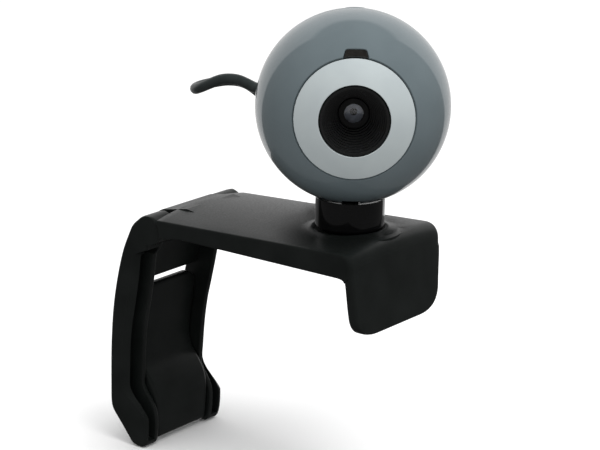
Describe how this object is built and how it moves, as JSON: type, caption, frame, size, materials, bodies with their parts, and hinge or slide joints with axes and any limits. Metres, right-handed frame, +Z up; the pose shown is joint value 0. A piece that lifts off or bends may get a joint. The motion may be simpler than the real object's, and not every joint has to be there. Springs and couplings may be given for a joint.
{
  "type": "webcam on a folding monitor clip",
  "caption": "Ball-shaped webcam with a turning focus ring, on a short neck over a monitor clip with a front lip and a folding rear leg; a wound cord ends in a plug.",
  "frame": {"origin": "middle of the rubber pad's resting face, under the neck, where the clip sits on a monitor's top edge", "axes": "+Z up, -Y towards the front lip and the monitor's screen, +Y towards the folding leg, +X the right side of someone looking along +Y"},
  "size_m": [0.084, 0.11, 0.1522],
  "materials": {
    "shell_front": "glossy slate-grey paint with a fine metallic flake",
    "shell_rear": "the same glossy slate grey as the front shell",
    "ring_silver": "satin silver paint",
    "window_smoke": "smoked translucent plastic, polished",
    "lens_black": "fine-stepped matt black",
    "lens_glass": "coated optical glass with a bluish reflection",
    "neck_plastic": "polished black",
    "clip_plastic": "satin black with a faint moulded grain",
    "pad_rubber": "soft matt rubber",
    "pin_steel": "plain bright steel",
    "bearing_nylon": "natural white nylon",
    "bearing_black": "black acetal",
    "cord_jacket": "satin dark grey vinyl jacket",
    "tie_strap": "black plastic-covered wire tie",
    "plug_plastic": "moulded black vinyl",
    "plug_metal": "bright nickel-plated sheet",
    "board_green": "green lacquer over glass fibre",
    "chip_black": "black moulded epoxy",
    "diode_amber": "clear amber epoxy"
  },
  "bodies": {
    "base": {"top_plate": "clip_plastic", "lip_pad": "pad_rubber", "underside_pad": "pad_rubber", "underside_pad_rear": "pad_rubber", "hinge_pin": "pin_steel", "hinge_washer_left": "bearing_black", "hinge_washer_right": "bearing_black"},
    "neck": {"neck_post": "neck_plastic", "pan_washer": "bearing_nylon", "pan_screw": "pin_steel", "tilt_shoe": "bearing_nylon", "shoe_screw": "pin_steel", "usb_cable": "cord_jacket", "cable_coil": "cord_jacket", "cable_tail": "cord_jacket", "cable_tie": "tie_strap", "plug_grip": "plug_plastic", "plug_shell": "plug_metal", "plug_tongue": "bearing_nylon"},
    "head": {"front_shell": "shell_front", "rear_shell": "shell_rear", "shell_screw_left": "pin_steel", "shell_screw_right": "pin_steel", "led_window": "window_smoke", "status_led": "diode_amber", "main_board": "board_green", "board_screw_left": "pin_steel", "board_screw_right": "pin_steel", "image_sensor": "chip_black", "lens_holder": "lens_black", "ir_filter": "lens_glass", "controller_chip": "chip_black", "crystal_can": "plug_metal", "capacitor": "chip_black", "cable_header": "bearing_nylon", "microphone": "plug_metal", "button_switch": "chip_black", "strain_relief": "cord_jacket"},
    "focus": {"focus_ring": "ring_silver", "lens_funnel": "lens_black"},
    "lens": {"lens_barrel": "lens_black", "front_lens": "lens_glass", "rear_lens": "lens_glass"},
    "button": {"snapshot_button": "shell_front"},
    "leg": {"rear_leg": "clip_plastic", "flap_pin": "pin_steel"},
    "flap": {"rear_flap": "clip_plastic"}
  },
  "joints": [
    {"name": "neck_pan", "type": "hinge", "parent": "base", "child": "neck", "pos_m": [0, 0, 0], "axis": [0, 0, 1], "range_deg": [-60, 168]},
    {"name": "head_tilt", "type": "hinge", "parent": "neck", "child": "head", "pos_m": [0, 0, 0.0474], "axis": [0.5878, -0.809, 0], "range_deg": [-14.5, 21.5]},
    {"name": "focus_turn", "type": "hinge", "parent": "head", "child": "focus", "pos_m": [0, 0, 0.0474], "axis": [-0.8075, -0.5867, 0.061], "range_deg": [-135, 135]},
    {"name": "lens_focus", "type": "slide", "parent": "focus", "child": "lens", "axis": [-0.8075, -0.5867, 0.061], "range_m": [-0.0002, 0.0002]},
    {"name": "snapshot_press", "type": "slide", "parent": "head", "child": "button", "axis": [-0.0494, -0.0359, -0.9981], "range_m": [0, 0.0005], "stiffness_N_per_m": 800, "springref_m": -0.0003},
    {"name": "leg_fold", "type": "hinge", "parent": "base", "child": "leg", "pos_m": [0, 0.063, 0.0005], "axis": [1, 0, 0], "range_deg": [-40, 30]},
    {"name": "flap_swing", "type": "hinge", "parent": "leg", "child": "flap", "pos_m": [0, 0.07, -0.0685], "axis": [1, 0, 0], "range_deg": [0, 120]}
  ],
  "couplings": [
    {"joint": "lens_focus", "follows": "focus_turn", "m_per_rad": 0.00007958}
  ]
}
